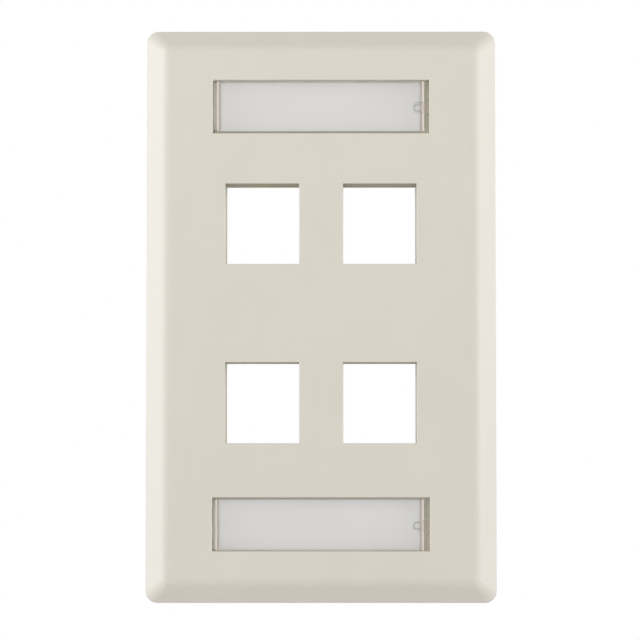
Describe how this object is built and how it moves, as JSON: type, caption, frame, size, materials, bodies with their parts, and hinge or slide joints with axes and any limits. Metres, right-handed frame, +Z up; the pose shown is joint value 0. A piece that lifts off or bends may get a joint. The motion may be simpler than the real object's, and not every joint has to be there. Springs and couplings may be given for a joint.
{
  "type": "keystone faceplate",
  "caption": "Single-gang wall faceplate with square openings for keystone jacks and a label window with a clear hinged cover at each end.",
  "frame": {"origin": "middle of the flat rear rim, on the wall's surface, midway between the two wall screws", "axes": "+X right seen from the front, +Y into the wall, +Z up along the plate's height"},
  "size_m": [0.0698, 0.0213, 0.1142],
  "materials": {
    "ivory_plastic": "fine satin moulding texture, light almond",
    "clear_plastic": "clear polished polycarbonate",
    "label_card": "blank white card",
    "screw_steel": "zinc-plated steel"
  },
  "bodies": {
    "plate": {"faceplate": "ivory_plastic", "top_label": "label_card", "bottom_label": "label_card", "top_mounting_screw": "screw_steel", "bottom_mounting_screw": "screw_steel"},
    "top_cover": {"top_label_cover": "clear_plastic"},
    "bottom_cover": {"bottom_label_cover": "clear_plastic"}
  },
  "joints": [
    {"name": "top_cover_hinge", "type": "hinge", "parent": "plate", "child": "top_cover", "pos_m": [-0.02185, -0.0057, 0.04152], "axis": [0, 0, -1], "range_deg": [0, 30]},
    {"name": "bottom_cover_hinge", "type": "hinge", "parent": "plate", "child": "bottom_cover", "pos_m": [-0.02185, -0.0057, -0.04152], "axis": [0, 0, -1], "range_deg": [0, 30]}
  ]
}
